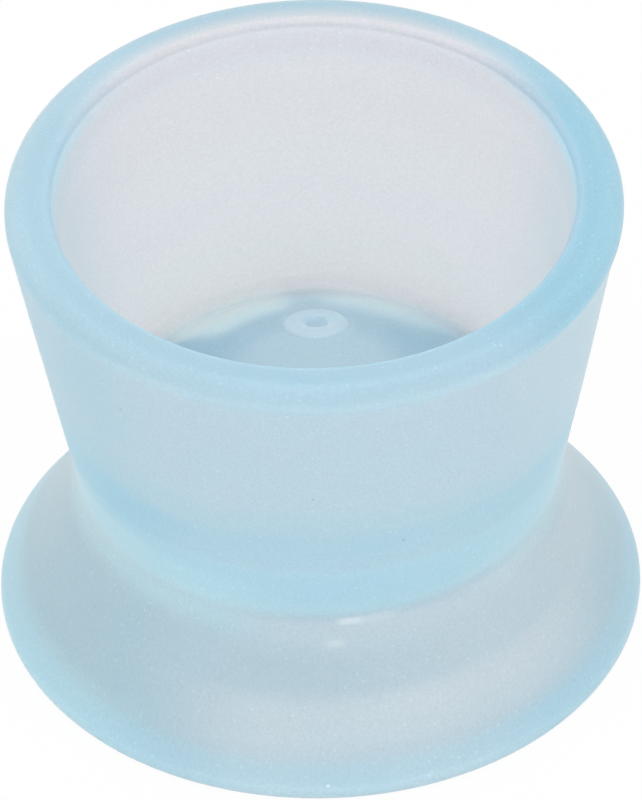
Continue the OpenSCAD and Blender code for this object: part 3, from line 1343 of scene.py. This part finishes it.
        dull = graph.less(1, graph.product(trait[Trait.MARK], self.mark_dull))
        gloss = graph.product(floor, dull)
        rough = graph.math("ADD", self.satin, graph.product(gloss, self.polished - self.satin))
        rough = graph.math("ADD", rough, graph.product(graph.less(drift, NOISE_MEAN), self.drift_rough))
        frost = graph.add(
            "ShaderNodeTexNoise", {"Vector": place, "Scale": self.frost_scale, "Detail": 3.0}
        ).outputs[0]
        frost = graph.product(frost, graph.less(1, graph.product(gloss, self.frost_polish)))
        bump = graph.add(
            "ShaderNodeBump",
            {"Strength": self.frost_strength, "Distance": self.frost_height, "Height": frost},
        )
        deep = graph.product(lining, graph.ramp(graph.height(place), *self.spread_lip, 1.0, 0.0))
        spread = graph.ramp(deep, 0.0, 1.0, self.spread, self.lining_spread)
        tight = self.piled(graph, 0.0, ((mask, patch.tight) for patch, mask in masks))
        shader = graph.add(
            "ShaderNodeBsdfPrincipled",
            {
                "Base Color": colour,
                "Roughness": rough,
                "Normal": bump.outputs["Normal"],
                "IOR": self.ior,
                "Subsurface Weight": 1.0,
                "Subsurface Radius": (1.0, 1.0, 1.0),
                "Subsurface Scale": graph.product(spread, graph.less(1, tight)),
            },
            subsurface_method="RANDOM_WALK",
        )
        graph.add("ShaderNodeOutputMaterial", {"Surface": shader.outputs["BSDF"]})
        return material


@dataclass(frozen=True)
class Lamp:
    """One soft square lamp of the studio.

    Attributes:
        name: The lamp's name.
        place: Where it stands.
        size: Its side.
        level: The light it throws on the cup, where 1 lights a white surface fully.
        colour: Its colour.
    """

    name: str
    place: Place
    size: float
    level: float
    colour: Colour = (1.0, 1.0, 1.0)

    def build(self, target: Vector) -> bpy.types.Object:
        """Makes the lamp and turns it to the target.

        Args:
            target: What it shines on.

        Returns:
            The lamp's object.
        """
        way = target - Vector(self.place)
        data = bpy.data.lights.new(self.name, "AREA")
        data.shape = "SQUARE"
        data.size = self.size
        data.color = self.colour
        data.energy = self.level * math.pi**2 * way.length_squared
        lamp = bpy.data.objects.new(self.name, data)
        lamp.location = self.place
        lamp.rotation_mode = "QUATERNION"
        lamp.rotation_quaternion = way.to_track_quat("-Z", "Y")
        bpy.context.scene.collection.objects.link(lamp)
        return lamp


@dataclass(frozen=True)
class PhotoCamera:
    """The photograph's viewpoint, as fitted to the outlines of the rim, the wall and the foot.

    Attributes:
        elevation: Height of the view above the horizon, in degrees.
        roll: Lean of the picture, in degrees.
        distance: Distance of the camera from the point it looks at.
        target: The point in the middle of the picture.
        scale: Pixels to a metre at the target.
        long_side: Length of the picture's longer side in pixels.
        sensor: Length of the sensor's longer side in millimetres.
        far: Distance up to which the camera sees.
    """

    elevation: float = 41.27
    roll: float = -0.98
    distance: float = 1.47
    target: Place = (0.24 * MM, 0.0, 17.2 * MM)
    scale: float = 14643.0
    long_side: int = 800
    sensor: float = 36.0
    far: float = 10.0

    def build(self) -> bpy.types.Object:
        """Makes the camera and gives it to the scene.

        Returns:
            The camera's object.
        """
        data = bpy.data.cameras.new("photo_camera")
        data.sensor_width = self.sensor
        data.lens = self.sensor * self.scale * self.distance / self.long_side
        data.clip_end = self.far
        rise, lean = math.radians(self.elevation), math.radians(self.roll)
        forward = Vector((0, math.cos(rise), -math.sin(rise)))
        level = Vector((1, 0, 0))
        up = level.cross(forward)
        right = math.cos(lean) * level + math.sin(lean) * up
        top = -math.sin(lean) * level + math.cos(lean) * up
        camera = bpy.data.objects.new("photo_camera", data)
        axes = Matrix((right, top, -forward)).transposed().to_4x4()
        camera.matrix_world = Matrix.Translation(Vector(self.target) - forward * self.distance) @ axes
        bpy.context.scene.collection.objects.link(camera)
        bpy.context.scene.camera = camera
        return camera


@dataclass
class Studio:
    """The white table, the soft light and the camera.

    Attributes:
        floor_size: Side of the table.
        floor_gap: Hair's breadth between the table's top and the standing ring.
        sky: Level of the even light from all round.
        own_white: Share of the table's white that doesn't depend on the light.
        paper: How white the table is.
        lamps: The lamps.
        camera: The photograph's viewpoint.
    """

    floor_size: float = 6.0
    floor_gap: float = 0.01 * MM
    sky: float = 0.77
    own_white: float = 0.95
    paper: float = 0.96
    lamps: Sequence[Lamp] = (
        Lamp("front_left_softbox", (-0.20, -0.50, 0.22), 0.30, 0.08),
        Lamp("front_right_softbox", (0.26, -0.46, 0.20), 0.30, 0.08),
        Lamp("high_softbox", (-0.05, -0.25, 0.56), 0.16, 0.10),
        Lamp("left_softbox", (-0.46, -0.10, 0.30), 0.14, 0.03),
        Lamp("right_softbox", (0.46, -0.14, 0.30), 0.14, 0.04),
        Lamp("top_softbox", (0.0, 0.07, 0.60), 0.14, 0.08),
    )
    camera: PhotoCamera = field(default_factory=PhotoCamera)

    def build(self) -> None:
        """Builds the whole studio."""
        self.camera.build()
        for lamp in self.lamps:
            lamp.build(Vector(self.camera.target))
        self.build_sky()
        self.build_floor()

    @staticmethod
    def sees_white(graph: Graph) -> Socket:
        """Masks the rays that see the sky and the table as white.

        Args:
            graph: The material's or the world's tree.

        Returns:
            The mask's socket.
        """
        rays = graph.add("ShaderNodeLightPath").outputs
        seen = graph.math("ADD", rays["Is Camera Ray"], rays["Is Glossy Ray"], clamp=True)
        return graph.math("ADD", seen, rays["Is Transmission Ray"], clamp=True)

    def build_sky(self) -> None:
        """Sets the even light, which the camera and reflections see as white."""
        world = bpy.data.worlds.new("studio_sky")
        bpy.context.scene.world = world
        world.use_nodes = True
        graph = Graph(world.node_tree)
        level = graph.math("ADD", self.sky, graph.product(self.sees_white(graph), 1 - self.sky))
        sky = graph.add("ShaderNodeBackground", {"Color": (1.0, 1.0, 1.0, 1.0), "Strength": level})
        graph.add("ShaderNodeOutputWorld", {"Surface": sky.outputs[0]})

    def build_floor(self) -> bpy.types.Object:
        """Makes the table that the cup stands on.

        Returns:
            The table's object.
        """
        half = self.floor_size / 2
        mesh = bpy.data.meshes.new("table")
        top = -self.floor_gap
        corners = [(-half, -half, top), (half, -half, top), (half, half, top), (-half, half, top)]
        mesh.from_pydata(corners, [], [(0, 1, 2, 3)])
        table = bpy.data.objects.new("table", mesh)
        bpy.context.scene.collection.objects.link(table)
        material = bpy.data.materials.new("white_table")
        material.use_nodes = True
        graph = Graph(material.node_tree)
        share = graph.product(self.sees_white(graph), self.own_white)
        paper = graph.add("ShaderNodeBsdfDiffuse", {"Color": (self.paper, self.paper, self.paper, 1.0)})
        glow = graph.add("ShaderNodeEmission", {"Color": (1.0, 1.0, 1.0, 1.0), "Strength": 1.0})
        mix = graph.add("ShaderNodeMixShader", {0: share, 1: paper.outputs[0], 2: glow.outputs[0]})
        graph.add("ShaderNodeOutputMaterial", {"Surface": mix.outputs[0]})
        mesh.materials.append(material)
        return table


def main() -> None:
    """Builds the cup and the studio and reports each piece."""
    logging.basicConfig(level=logging.INFO, format="%(name)s: %(message)s")
    bpy.context.scene.view_settings.view_transform = "Standard"

    cup = CupSkin().build(Silicone().material())
    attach(cup, "root")
    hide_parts("bowl", "foot")
    LOG.info("silicone_cup: %d faces", len(cup.data.polygons))

    Studio().build()
    LOG.info("studio: table, sky, lamps and camera")


if __name__ == "__main__":
    main()
